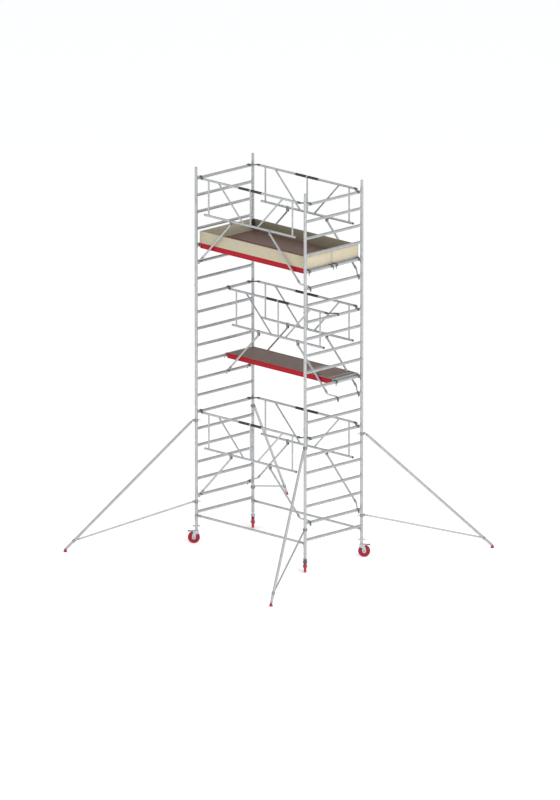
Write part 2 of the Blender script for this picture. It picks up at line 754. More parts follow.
def leg_bracket():
    """A strap bent round the rail with two ears, bolted through the head of the leg."""
    r = rail_d / 2
    ear_y = leg_d / 2 + 0.0027
    collar = moved(turned([
        (r, -0.02), (r + 0.005, -0.02), (r + 0.006, -0.019), (r + 0.006, -0.013), (r + 0.0045, -0.011),
        (r + 0.0045, 0.011), (r + 0.006, 0.013), (r + 0.006, 0.019), (r + 0.005, 0.02), (r, 0.02),
    ], pale_casting, 40, closed=True), Matrix.Rotation(math.radians(90), 4, "Y"))
    parts = [collar]
    ear = [(-0.017, -0.012), (-0.017, -0.06)] + arc(0, -0.06, 0.017, 180, 360, 12)[1:-1] + [(0.017, -0.06),
                                                                                            (0.017, -0.012)]
    for s in (-1, 1):
        parts.append(moved(plate(ear, 0.004, pale_casting, 0.0008), Matrix.Translation((0, s * ear_y, 0))))
        turn = Matrix.Translation((0, s * (ear_y + 0.002), -0.06)) @ Matrix.Rotation(math.radians(-90 * s), 4,
                                                                                     "X")
        parts.append(moved(turned([(0, 0.0065), (0.003, 0.0063), (0.0062, 0.0048), (0.0068, 0.003),
                                   (0.0068, 0.0016), (0.0095, 0.0016), (0.0095, 0)], zinc, 24), turn))
    parts.append(moved(turned([(0.0058, -ear_y), (0.0058, ear_y)], zinc, 20),
                       at(0, 0, -0.06, 90, "X")))
    return joined(parts, "bracket")


bracket = leg_bracket()
brackets = [copy_to(bracket, "bracket", at(s * leg_head.x, 0, -rail_drop)) for s in (-1, 1)]
discard(bracket)
fitted(joined(on_rails(joined(brackets, "brackets"), "brackets"), "guardrail_leg_pivots"), "tower",
       "claw_casting", "guardrail_leg_brackets")


def rung_hook(width, lip, y):
    """The half ring over a rung at the right-hand end, with a stiffening web across its back."""
    inner, outer = rung_d / 2 + 0.0004, rung_d / 2 + 0.01
    outline = (
        arc(0, 0, outer, 180, 0, 20)
        + [(outer, -lip + 0.004), (outer - 0.003, -lip), (inner + 0.002, -lip), (inner, -lip + 0.003)]
        + arc(0, 0, inner, 0, 180, 20)
    )
    parts = [moved(plate(outline, width, casting, 0.0016), at(half_l, y, 0))]
    return parts


def hooks_and_claws():
    """One end of a guardrail: the arm and hook of the top rail, and the foot of the leg."""
    r = rail_d / 2
    lay = Matrix.Rotation(math.radians(90), 4, "Y")
    parts = rung_hook(0.038, 0.014, 0.1)
    parts.append(swept([
        (rail_half - 0.002, 0, rail_rise), (rail_half + 0.028, 0, rail_rise),
        (rail_half + 0.044, 0.008, rail_rise), (rail_half + 0.08, 0.078, rail_rise),
        (rail_half + 0.094, 0.096, rail_rise), (half_l - 0.025, 0.1, rail_rise),
    ], [0.036, 0.028, 0.023, 0.0215, 0.022, 0.021], casting))
    parts.append(moved(turned([
        (r, -0.03), (r + 0.0012, -0.0295), (r + 0.0012, 0.012), (r - 0.001, 0.016), (r - 0.006, 0.019),
        (0, 0.02),
    ], casting, 40), at(rail_half, 0, rail_rise) @ lay))
    parts.append(riveted(rail_half - 0.016, -r - 0.001, rail_rise, 0.005, zinc))
    rung_at = Vector((half_l, 0.095, -5 * rung_pitch))
    parts += [moved(p, Matrix.Translation((0, 0.095, -5 * rung_pitch - 0.005)))
              for p in rung_hook(0.032, 0.045, 0)]
    parts.append(swept([
        leg_foot - 0.008 * leg_line, leg_foot + Vector((0.01, 0.002, -0.011)),
        leg_foot + Vector((0.019, 0.008, -0.0205)), leg_foot + Vector((0.032, 0.019, -0.0255)),
        rung_at + Vector((-0.022, -0.008, 0.0365)), rung_at + Vector((0, 0, 0.034)),
    ], [0.032, 0.03, 0.0255, 0.0225, 0.0215, 0.019], aluminium))
    turn = leg_line.to_track_quat("Z", "Y").to_matrix().to_4x4()
    r = leg_d / 2
    parts.append(moved(turned([
        (r, -0.055), (r + 0.0025, -0.0545), (r + 0.0035, -0.052), (r + 0.0035, -0.006), (r + 0.001, 0.001),
        (r - 0.004, 0.004), (0, 0.004),
    ], pale_casting, 36), Matrix.Translation(leg_foot) @ turn))
    return joined(parts, "hooks")


right_hooks = hooks_and_claws()
left_hooks = copy_to(right_hooks, "left_hooks", Matrix.Diagonal((-1, 1, 1, 1)))
fitted(joined(on_rails(joined([right_hooks, left_hooks], "hooks"), "hooks"), "guardrail_end_claws"), "tower",
       "claw_casting", "guardrail_claws")


# ---- Platforms ----
# Each platform is a frame of two grooved side rails, powder coated crimson, riveted to silver box
# beams across its ends. A film-faced plywood deck is screwed down inside it, and cast hooks on
# the end beams hang over the rungs.
def powder_coat():
    mat = new_finish("crimson_powder_coat", (0.45, 0.005, 0.018), 0.0, 0.42)
    mat.node_tree.nodes["Principled BSDF"].inputs["Specular IOR Level"].default_value = 0.2
    peel = pattern(mat, "ShaderNodeTexNoise", (380, 380, 380), Detail=2)
    cloud = pattern(mat, "ShaderNodeTexNoise", (2.2, 9, 9), Detail=4)
    scrapes = pattern(mat, "ShaderNodeTexNoise", (7, 90, 160), Detail=7, Roughness=0.75)
    base = ramp(mat, cloud, 0.3, 0.7, (0.38, 0.003, 0.013), (0.47, 0.005, 0.019))
    colour_by(mat, tint(mat, base, ramp(mat, scrapes, 0.3, 0.36, (0.5, 0.45, 0.45), (1, 1, 1)), 0.8))
    roughness_by(mat, peel, 0.38, 0.52)
    bump_by(mat, peel, 0.00025, 0.5)
    return mat


def film_faced_ply():
    mat = new_finish("film_faced_ply", (0.14, 0.085, 0.062), 0.0, 0.5)
    weave = mat.node_tree.nodes.new("ShaderNodeTexCoord")
    grid = []
    for axis in ("X", "Y"):
        wires = mat.node_tree.nodes.new("ShaderNodeTexWave")
        wires.bands_direction = axis
        wires.inputs["Scale"].default_value = 62
        mat.node_tree.links.new(weave.outputs["Object"], wires.inputs["Vector"])
        grid.append(wires.outputs["Fac"])
    cross = mat.node_tree.nodes.new("ShaderNodeMath")
    cross.operation = "MAXIMUM"
    mat.node_tree.links.new(grid[0], cross.inputs[0])
    mat.node_tree.links.new(grid[1], cross.inputs[1])
    cloud = pattern(mat, "ShaderNodeTexNoise", (1.6, 3.2, 3), Detail=7, Roughness=0.62)
    dust = pattern(mat, "ShaderNodeTexNoise", (26, 70, 30), Detail=6, Roughness=0.7)
    base = ramp(mat, cloud, 0.3, 0.72, (0.15, 0.09, 0.066), (0.205, 0.134, 0.104))
    base = tint(mat, base, ramp(mat, dust, 0.35, 0.6, (0.82, 0.8, 0.78), (1, 1, 1)), 1.0)
    colour_by(mat,
              tint(mat, base, ramp(mat, cross.outputs[0], 0.5, 0.95, (0.86, 0.86, 0.86), (1, 1, 1)), 0.8))
    roughness_by(mat, dust, 0.38, 0.62)
    bump_by(mat, cross.outputs[0], 0.0003, 0.5)
    return mat


def layered_edge():
    """The stacked veneers on the cut edge of a plywood sheet, light and dark by turns."""
    mat = new_finish("plywood_edge", (0.6, 0.45, 0.28), 0.0, 0.75)
    layers = pattern(mat, "ShaderNodeTexWave", (1, 1, 1), bands_direction="Z", Scale=115)
    grain = pattern(mat, "ShaderNodeTexNoise", (60, 60, 400), Detail=4)
    base = ramp(mat, layers, 0.35, 0.6, (0.3, 0.19, 0.1), (0.66, 0.5, 0.32))
    colour_by(mat, tint(mat, base, ramp(mat, grain, 0.3, 0.7, (0.8, 0.78, 0.75), (1, 1, 1)), 1.0))
    bump_by(mat, layers, 0.0002)
    return mat


crimson_coat = powder_coat()
deck_ply = film_faced_ply()
ply_edge = layered_edge()

platform_low, platform_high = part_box("middle_platform_frame")
deck_low, deck_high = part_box("middle_platform_deck")
platform_w = platform_high.y - platform_low.y
platform_y = (platform_high.y + platform_low.y) / 2
deck_rise = platform_high.z - rung_height(10)
side_h = platform_high.z - platform_low.z
beam_w = 0.025
beam_x = platform_high.x - beam_w
beam_h = 0.07
inner_half = platform_w / 2 - 0.025
deck_top = deck_high.z - rung_height(10)
deck_t = deck_high.z - deck_low.z
hatch_low, hatch_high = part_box("middle_hatch")
hatch_gap = 0.003
platforms = [("middle", 10, 1, True), ("front", 17, -1, True), ("back", 17, 1, False)]


def platform_place(rung, side):
    """Turns what is drawn for a platform on the back side into its place."""
    return Matrix.Translation((0, side * platform_y, rung_height(rung))) @ Matrix.Diagonal((1, side, 1, 1))


def side_rail():
    """An extrusion with two shallow grooves down its outer face and a lip over the deck's edge."""
    y, top, foot = platform_w / 2, deck_rise, deck_rise - side_h
    groove, lip = 0.0022, 0.0055
    section = [
        (y - 0.004, top), (y - 0.001, top - 0.001), (y, top - 0.004), (y, top - 0.016),
        (y - groove, top - 0.018), (y - groove, top - 0.024), (y, top - 0.026), (y, foot + 0.026),
        (y - groove, foot + 0.024), (y - groove, foot + 0.018), (y, foot + 0.016), (y, foot + 0.004),
        (y - 0.001, foot + 0.001), (y - 0.004, foot), (y - 0.022, foot), (y - 0.025, foot + 0.003),
        (y - 0.025, foot + 0.008), (y - 0.012, foot + 0.009), (y - 0.009, foot + 0.012),
        (y - 0.009, deck_top - deck_t - 0.004), (y - 0.012, deck_top - deck_t - 0.0005),
        (y - 0.025, deck_top - deck_t - 0.0005), (y - 0.025 - lip, deck_top - deck_t - 0.0005),
        (y - 0.025 - lip, deck_top - deck_t), (y - 0.025, deck_top - deck_t), (y - 0.025, deck_top),
        (y - 0.025 - lip, deck_top + 0.0002), (y - 0.025 - lip, top - 0.0006), (y - 0.025 - lip + 0.001, top),
    ]
    rail = moved(plate(section, 2 * beam_x, crimson_coat, edge=0), Matrix.Rotation(math.radians(90), 4, "Z"))
    rail.data.materials.append(deck_ply)
    for face in rail.data.polygons:
        if face.center.z > deck_top - 0.001 and abs(face.center.y) < y - 0.0015 and abs(face.normal.x) < 0.5:
            face.material_index = 1
    return rail


def pop_rivets(points, y):
    """A row of rivet heads on a face that looks along +Y."""
    return [riveted(x, y, z, 0.0045, zinc) for x, z in points]


def side_rails(hatched):
    placed = side_rail()
    if placed.data.vertices[0].co.y < 0:
        moved(placed, Matrix.Rotation(math.pi, 4, "Z"))
    y = platform_w / 2
    heads = [(s * (beam_x - inset), z) for s in (-1, 1) for inset in (0.018, 0.045)
             for z in (deck_rise - 0.035, deck_rise - 0.06)]
    cross = [-0.7, -0.1, 0.475, 1.105] if hatched else [-0.8, -0.27, 0.27, 0.8]
    heads += [(x, deck_rise - 0.034) for x in cross]
    rivets = joined([moved(p, Matrix.Rotation(math.pi, 4, "Z"))
                     for p in pop_rivets([(-x, z) for x, z in heads], -y)], "rivets")
    far_rail = copy_to(placed, "rail", Matrix.Rotation(math.pi, 4, "Z"))
    far_rivets = copy_to(rivets, "rivets", Matrix.Rotation(math.pi, 4, "Z"))
    return joined([placed, far_rail, rivets, far_rivets], "side_rails")


def box_beam(length, width, height, wall, mat):
    """A hollow box section along X from 0 up, with rounded corners and open ends."""
    r, w = 0.003, width / 2
    outline = (
        arc(w - r, r, r, 270, 360, 3) + arc(w - r, height - r, r, 0, 90, 3)
        + arc(r - w, height - r, r, 90, 180, 3) + arc(r - w, r, r, 180, 270, 3)
    )
    piece = sketch([(-length / 2, y, z) for y, z in outline])
    bpy.ops.mesh.extrude_region_move(TRANSFORM_OT_translate={"value": (length, 0, 0)})
    bpy.ops.mesh.select_all(action="SELECT")
    bpy.ops.mesh.normals_make_consistent(inside=False)
    bpy.ops.object.mode_set(mode="OBJECT")
    apply_modifier(piece, "SOLIDIFY", thickness=wall, offset=-1)
    return painted(piece, mat)


def cross_members(hatched):
    quarter = Matrix.Rotation(math.radians(90), 4, "Z")
    parts = []
    for s in (-1, 1):
        beam = box_beam(platform_w - 0.001, beam_w - 0.0006, beam_h, 0.0025, aluminium)
        parts.append(moved(beam, Matrix.Translation((s * (beam_x + beam_w / 2), 0, deck_rise - beam_h))
                           @ quarter))
    xs = [-0.7, -0.1, 0.475, 1.105] if hatched else [-0.8, -0.27, 0.27, 0.8]
    for x in xs:
        member = box_beam(2 * inner_half - 0.001, 0.04, 0.03, 0.002, aluminium)
        parts.append(moved(member, Matrix.Translation((x, 0, deck_top - deck_t - 0.0305)) @ quarter))
    return joined(parts, "cross_members")


def sheet_panel(x0, x1):
    """A plywood sheet with film on both faces and its veneers showing round the edge."""
    panel = block((x0, -inner_half + 0.0004, deck_top - deck_t + 0.0002), (x1, inner_half - 0.0004, deck_top),
                  deck_ply, 0.0008, 1)
    panel.data.materials.append(ply_edge)
    for face in panel.data.polygons:
        if abs(face.normal.z) < 0.5:
            face.material_index = 1
    return panel


def deck_screws(x0, x1):
    """Countersunk screws with a cross recess, along both edges of a sheet."""
    one = turned([(0, -0.0004), (0.0012, -0.0004), (0.0022, 0.0004), (0.0048, 0.0006), (0.0054, 0)], zinc, 14)
    count = max(2, round((x1 - x0) / 0.19))
    places = [(x0 + 0.03 + i * (x1 - x0 - 0.06) / count, s * (inner_half - 0.016))
              for i in range(count + 1) for s in (-1, 1)]
    places += [(x, y) for x in (x0 + 0.014, x1 - 0.014) for y in (-0.14, 0, 0.14)]
    screws = [copy_to(one, "screw", at(x, y, deck_top)) for x, y in places]
    discard(one)
    return screws


def platform_deck(hatched):
    spans = [(-beam_x, beam_x)]
    if hatched:
        spans = [(-beam_x, hatch_low.x - hatch_gap), (hatch_high.x + hatch_gap, beam_x)]
    parts = []
    for x0, x1 in spans:
        parts.append(sheet_panel(x0, x1))
        parts += deck_screws(x0, x1)
    return joined(parts, "deck")


masters = {hatched: (side_rails(hatched), cross_members(hatched),
                     platform_deck(hatched)) for hatched in (True, False)}
for title, rung, side, hatched in platforms:
    rails, members, deck = masters[hatched]
    place = platform_place(rung, side)
    fitted(copy_to(rails, title + "_side_rails", place), "tower", "platform_paint", title + "_platform_frame")
    fitted(copy_to(members, title + "_cross_members", place), "tower", "tower_aluminium",
           title + "_platform_frame")
    fitted(copy_to(deck, title + "_deck_sheets", place), "tower", "deck_plywood", title + "_platform_deck")
for group in masters.values():
    for piece in group:
        discard(piece)


def platform_hook():
    """A cast hook on the right-hand end beam, with a steel wind catch below the rung."""
    inner, outer = rung_d / 2 + 0.0004, rung_d / 2 + 0.01
    outline = (
        [(-0.03, -0.02), (-0.03, outer), (0, outer)] + arc(0, 0, outer, 90, 0, 12)[1:]
        + [(outer, -0.017), (outer - 0.003, -0.02), (inner + 0.002, -0.02), (inner, -0.017)]
        + arc(0, 0, inner, 0, 168, 18) + [(-0.0245, -0.0)]
    )
    parts = [plate(outline, 0.036, casting, 0.0018)]
    parts.append(block((-0.034, -0.026, -0.021), (-0.03, 0.026, outer - 0.004), casting, 0.0015))
    for y in (-0.021, 0.021):
        for z in (-0.012, 0.02):
            parts.append(moved(turned([(0, 0.0028), (0.0022, 0.0024), (0.0036, 0)], zinc, 12),
                               at(-0.03, y, z, 90, "Y")))
    catch = [(-0.006, -0.001), (-0.006, -0.052), (0.004, -0.06), (0.012, -0.052), (0.012, -0.012),
             (0.008, -0.001)]
    parts.append(moved(plate(catch, 0.006, spring_steel, 0.001), at(outer - 0.008, 0.0225, 0)))
    return joined(parts, "hook")


hook = platform_hook()
hooks = []
for title, rung, side, hatched in platforms:
    for sx in (-1, 1):
        for sy in (-1, 1):
            flip = Matrix.Diagonal((sx, sy, 1, 1))
            spot = Matrix.Translation((sx * half_l, side * platform_y + sy * (platform_w / 2 - 0.045),
                                       rung_height(rung)))
            hooks.append(copy_to(hook, "hook", spot @ flip))
discard(hook)
fitted(joined(hooks, "platform_rung_hooks"), "tower", "claw_casting", "platform_hooks")


# ---- Trapdoors ----
# The hatch of a trapdoor platform is the same ply in an aluminium edging. It turns on two
# pinned hinges screwed to the side rail and lifts by a dark pull handle near its free edge.
hinge_spread = 0.19
knuckle_l = 0.06
fixed_l = 0.03
hinge_r = 0.006
hinge_y = inner_half + 0.001
hinge_z = deck_rise + hinge_r + 0.0005
hatch_mid = (hatch_low.x + hatch_high.x) / 2


def knuckle(x, length, mat):
    barrel = [(0.0036, -length / 2), (hinge_r - 0.0006, -length / 2), (hinge_r, -length / 2 + 0.0006),
              (hinge_r, length / 2 - 0.0006), (hinge_r - 0.0006, length / 2), (0.0036, length / 2)]
    return moved(turned(barrel, mat, 24, closed=True), at(x, hinge_y, hinge_z, 90, "Y"))


def hatch_panel():
    x0, x1 = hatch_low.x, hatch_high.x
    y0, y1 = -inner_half + 0.003, inner_half - 0.002
    z0, z1 = deck_top - deck_t + 0.0004, deck_top
    trim = 0.018
    panel = block((x0 + 0.001, y0 + 0.001, z0), (x1 - 0.001, y1 - 0.001, z1 - 0.0006), deck_ply, 0.0006, 1)
    edging = sketch([(x0, y0, z1 - 0.0012), (x1, y0, z1 - 0.0012), (x1, y1, z1 - 0.0012),
                     (x0, y1, z1 - 0.0012)])
    bpy.ops.mesh.edge_face_add()
    bpy.ops.mesh.normals_make_consistent(inside=False)
    bpy.ops.mesh.inset(thickness=trim, use_even_offset=True)
    bpy.ops.mesh.delete(type="FACE")
    bpy.ops.object.mode_set(mode="OBJECT")
    apply_modifier(edging, "SOLIDIFY", thickness=0.0016, offset=0)
    rounded(edging, 0.0005, 1)
    painted(edging, aluminium)
    parts = [panel, edging]
    for s in (-1, 1):
        middle = hatch_mid + s * hinge_spread
        parts.append(knuckle(middle, knuckle_l, zinc))
        leaf = block((middle - knuckle_l / 2, hinge_y - 0.04, z1 - 0.0005),
                     (middle + knuckle_l / 2, hinge_y - 0.003, z1 + 0.0035),
                     zinc, 0.001, 1)
        web = block((middle - knuckle_l / 2, hinge_y - 0.011, z1 + 0.001),
                    (middle + knuckle_l / 2, hinge_y - 0.001, hinge_z),
                    zinc, 0.001, 1)
        parts += [leaf, web]
        for dx in (-0.02, 0.02):
            parts.append(moved(turned([(0, 0.0016), (0.0024, 0.0014), (0.0042, 0)], zinc, 14),
                               at(middle + dx, hinge_y - 0.026, z1 + 0.0034)))
    base = block((hatch_mid - 0.07, y0 + 0.03, z1 - 0.0005), (hatch_mid + 0.07, y0 + 0.07, z1 + 0.0022),
                 black_plastic, 0.001)
    grip = swept([(hatch_mid - 0.052, y0 + 0.05, z1 + 0.001), (hatch_mid - 0.05, y0 + 0.05, z1 + 0.0068),
                  (hatch_mid - 0.03, y0 + 0.05, z1 + 0.0078), (hatch_mid + 0.03, y0 + 0.05, z1 + 0.0078),
                  (hatch_mid + 0.05, y0 + 0.05, z1 + 0.0068), (hatch_mid + 0.052, y0 + 0.05, z1 + 0.001)],
                 [0.008, 0.007, 0.0062, 0.0062, 0.007, 0.008], black_plastic)
    parts += [base, grip]
    for x in (x0 + 0.03, x1 - 0.03):
        parts += [moved(turned([(0, 0.0009), (0.0026, 0.0007), (0.0044, 0)], zinc, 14),
                        at(x, y0 + 0.009 + k * (y1 - y0 - 0.018) / 3, z1 - 0.0004)) for k in range(4)]
    return joined(parts, "hatch_panel")


def hinge_frame():
    """The pins and the knuckles that stay on the side rail."""
    parts = []
    for s in (-1, 1):
        middle = hatch_mid + s * hinge_spread
        half_pin = knuckle_l / 2 + fixed_l + 0.003
        parts.append(moved(turned([(0, -half_pin), (0.003, -half_pin), (0.0035, -half_pin + 0.0006),
                                   (0.0035, half_pin - 0.0006), (0.003, half_pin), (0, half_pin)],
                                   spring_steel, 20),
                           at(middle, hinge_y, hinge_z, 90, "Y")))
        for end in (-1, 1):
            x = middle + end * ((knuckle_l + fixed_l) / 2 + 0.0005)
            parts.append(knuckle(x, fixed_l, zinc))
            parts.append(block((x - fixed_l / 2, hinge_y, deck_rise),
                               (x + fixed_l / 2, hinge_y + 0.0185, deck_rise + 0.003),
                               zinc, 0.0008, 1))
            parts.append(moved(turned([(0, 0.0014), (0.002, 0.0012), (0.0034, 0)], zinc, 12),
                               at(x, hinge_y + 0.0135, deck_rise + 0.003)))
    return joined(parts, "hinge_frame")


hatch, hinges = hatch_panel(), hinge_frame()
fixed_hinges = []
for title, rung, side, hatched in platforms:
    if hatched:
        place = platform_place(rung, side)
        fitted(copy_to(hatch, title + "_trapdoor", place), title + "_hatch", "deck_plywood", title + "_hatch")
        fixed_hinges.append(copy_to(hinges, "hinge", place))
discard(hatch)
discard(hinges)
fitted(joined(fixed_hinges, "trapdoor_hinges"), "tower", "zinc_steel", "hatch_hinge_pins")


# ---- Toe boards ----
# Pale plywood boards stand on edge round the top deck. The end boards are in two halves behind
# a joining strip, and dark plastic angles with two screws a side lock the corners.
def board_ply(name, stretch, low, high):
    mat = new_finish(name, high, 0.0, 0.62)
    rings = pattern(mat, "ShaderNodeTexNoise", tuple(v * 4 for v in stretch), Detail=6, Roughness=0.6,
                    Distortion=1.2)
    fibres = pattern(mat, "ShaderNodeTexNoise", tuple(v * 90 for v in stretch), Detail=4)
    cloud = pattern(mat, "ShaderNodeTexNoise", (1.3, 1.3, 2.6), Detail=4)
    base = ramp(mat, rings, 0.3, 0.72, low, high)
    base = tint(mat, base, ramp(mat, fibres, 0.3, 0.7, (0.93, 0.92, 0.9), (1, 1, 1)), 0.8)
    colour_by(mat, tint(mat, base, ramp(mat, cloud, 0.3, 0.7, (0.95, 0.945, 0.93), (1, 1, 1)), 1.0))
    roughness_by(mat, rings, 0.5, 0.7)
    bump_by(mat, fibres, 0.00012)
    return mat


toe_low, toe_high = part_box("toe_boards")
toe_t = 0.015
pale_veneer = (0.55, 0.485, 0.345), (0.61, 0.545, 0.4)
long_film_tones = (0.25, 0.222, 0.16), (0.3, 0.27, 0.2)
end_film_tones = (0.37, 0.335, 0.25), (0.44, 0.4, 0.31)
long_ply = board_ply("toe_board_ply", (0.12, 1, 1.6), *pale_veneer)
end_ply = board_ply("end_board_ply", (1, 0.12, 1.6), *pale_veneer)
long_film = board_ply("toe_board_film", (0.12, 1, 1.6), *long_film_tones)
end_film = board_ply("end_board_film", (1, 0.12, 1.6), *end_film_tones)


def veneered(piece, normal_axis, outwards, film):
    """Shows the veneers of a board on its top and cut ends, and its dark film on the inner face."""
    piece.data.materials.append(board_edge)
    piece.data.materials.append(film)
    for face in piece.data.polygons:
        facing = face.normal[normal_axis] * outwards
        if facing < 0.5:
            face.material_index = 2 if facing < -0.5 else 1
    return piece


board_edge = new_finish("toe_board_edge", (0.7, 0.64, 0.5), 0.0, 0.7)
edge_lines = pattern(board_edge, "ShaderNodeTexNoise", (40, 40, 40), Detail=5)
colour_by(board_edge, ramp(board_edge, edge_lines, 0.3, 0.7, (0.55, 0.48, 0.35), (0.7, 0.64, 0.5)))
bump_by(board_edge, edge_lines, 0.0002)

boards = []
for s in (-1, 1):
    y0, y1 = sorted((s * toe_high.y, s * (toe_high.y - toe_t)))
    long_board = block((-beam_x + 0.0004, y0, toe_low.z), (beam_x - 0.0004, y1, toe_high.z), long_ply, 0.0022,
                       2)
    boards.append(veneered(long_board, 1, s, long_film))
    for half in (-1, 1):
        x0, x1 = sorted((s * beam_x, s * (beam_x + toe_t)))
        y0, y1 = sorted((half * 0.001, half * toe_high.y))
        end_board = block((x0, y0, toe_low.z), (x1, y1, toe_high.z), end_ply, 0.0022, 2)
        boards.append(veneered(end_board, 0, s, end_film))
fitted(joined(boards, "toe_board_planks"), "tower", "toe_board_plywood", "toe_boards")

strip_plastic = moulded_plastic("strip_plastic", (0.4, 0.375, 0.31), (0.46, 0.43, 0.36), 0.5)
joints = []
for s in (-1, 1):
    x0, x1 = sorted((s * (beam_x + toe_t), s * (beam_x + toe_t + 0.003)))
    joints.append(block((x0, -0.022, toe_low.z), (x1, 0.022, toe_high.z), strip_plastic, 0.001))
    for y in (-0.013, 0.013):
        for z in (0.03, 0.0975, 0.165):
            head = turned([(0, 0.0016), (0.002, 0.0014), (0.0038, 0)], zinc, 14)
            joints.append(moved(head, at(s * (beam_x + toe_t + 0.003), y, toe_low.z + z, 90 * s, "Y")))
angle_w, angle_t = 0.055, 0.003
for sx in (-1, 1):
    for sy in (-1, 1):
        section = [(0, 0), (angle_w - 0.001, 0), (angle_w, 0.001), (angle_w, angle_t - 0.001),
                   (angle_w - 0.001, angle_t), (angle_t + 0.005, angle_t), (angle_t, angle_t + 0.005),
                   (angle_t, angle_w - 0.001), (angle_t - 0.001, angle_w), (0.001, angle_w),
                   (0, angle_w - 0.001)]
        corner = moved(plate(section, toe_high.z - toe_low.z - 0.04, black_plastic, 0.0005, 1),
                       Matrix.Rotation(math.radians(-90), 4, "X"))
        corner_screws = []
        for z in (-0.05, 0.05):
            for turn in (0, 1):
                head = turned([(0, 0.0018), (0.0024, 0.0015), (0.0046, 0)], zinc, 14)
                spot = at(0.034, angle_t, z, -90, "X") if turn else at(angle_t, 0.034, z, 90, "Y")
                corner_screws.append(moved(head, spot))
        bracket = joined([corner, *corner_screws], "corner")
        place = Matrix.Translation((sx * beam_x, sy * (toe_high.y - toe_t),
                                    (toe_low.z + toe_high.z) / 2 + 0.005))
        joints.append(moved(bracket, place @ Matrix.Diagonal((-sx, -sy, 1, 1))))
fitted(joined(joints, "toe_board_fittings"), "tower", "bracket_plastic", "toe_board_brackets")


# ---- Adjustable castors ----
# A zinc plated screw leg runs up inside each lower upright and carries a swivel castor. The fork
# is pressed from plate, the wheel is crimson plastic with ribs, a winged nut on the thread sets
# the height, and a dark steel pedal presses a pad on the tread.
wheel_low, wheel_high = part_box("front_left_wheel")
wheel_d = wheel_high.z - wheel_low.z
wheel_w = 0.045
castor_trail = 0.042
axle_z = (wheel_high.z + wheel_low.z) / 2
fork_gap = wheel_w + 0.009
fork_t = 0.005
crown_z = 0.205
leg_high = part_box("front_left_leg")[1]
nut_low, nut_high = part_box("front_left_nut")
screw_r = 0.016
screw_pitch = 0.008
across = Matrix.Rotation(math.radians(90), 4, "X")


def castor_place(x, y):
    """Turns what is drawn for a castor that trails along +X to its corner, trailing outwards."""
    return at(x * half_l, y * half_w, 0, math.degrees(math.atan2(y, x)))


def castor_wheel():
    r, w = wheel_d / 2, wheel_w / 2
    hub = 0.0262
    tread = [
        (0.0078, -w - 0.0034), (0.012, -w - 0.0034), (0.0125, -w - 0.001), (0.0185, -w - 0.001),
        (0.019, -w - 0.0034), (0.0238, -w - 0.0034), (0.0252, -w - 0.001), (hub, -w + 0.003),
        (hub + 0.0012, -0.0088), (hub + 0.004, -0.007), (r - 0.0285, -0.0062), (r - 0.0255, -0.0078),
        (r - 0.0235, -w + 0.004), (r - 0.022, -w + 0.0015), (r - 0.0185, -w + 0.0012),
        (r - 0.0175, -w + 0.0022), (r - 0.0165, -w + 0.0012), (r - 0.0085, -w), (r - 0.005, -w + 0.0012),
        (r - 0.0018, -w + 0.0052), (r - 0.0003, -w + 0.0105), (r, 0),
    ]
    profile = tread + [(radius, -z) for radius, z in reversed(tread[:-1])]
    parts = [moved(turned(profile, crimson_plastic, 96, closed=True), across)]
    rib_out = r - 0.0248
    for i in range(10):
        for s in (-1, 1):
            outline = [(hub + 0.0008, -0.0022), (rib_out, -0.0016), (rib_out, 0.0016), (hub + 0.0008, 0.0022)]
            rib = plate(outline, w - 0.0105, crimson_plastic, 0.0006, 1)
            middle = Matrix.Translation((0, s * (0.006 + (w - 0.0105) / 2), 0))
            parts.append(moved(rib, Matrix.Rotation(math.tau * i / 10, 4, "Y") @ middle))
    for i in range(5):
        mark = turned([(0.0, 0.0008), (0.0034, 0.0006), (0.0042, 0.0)], crimson_plastic, 14)
        angle = math.tau * (i + 0.5) / 5
        spot = (math.cos(angle) * (r - 0.013), -w + 0.0014, math.sin(angle) * (r - 0.013))
        parts.append(moved(mark, Matrix.Translation(spot) @ across))
    wheel = joined(parts, "wheel")
    return moved(wheel, Matrix.Translation((castor_trail, 0, axle_z)))


def hex_head(radius, height, mat):
    outline = [(radius * math.cos(math.tau * i / 6), radius * math.sin(math.tau * i / 6)) for i in range(6)]
    return moved(plate(outline, height, mat, 0.0009), across)


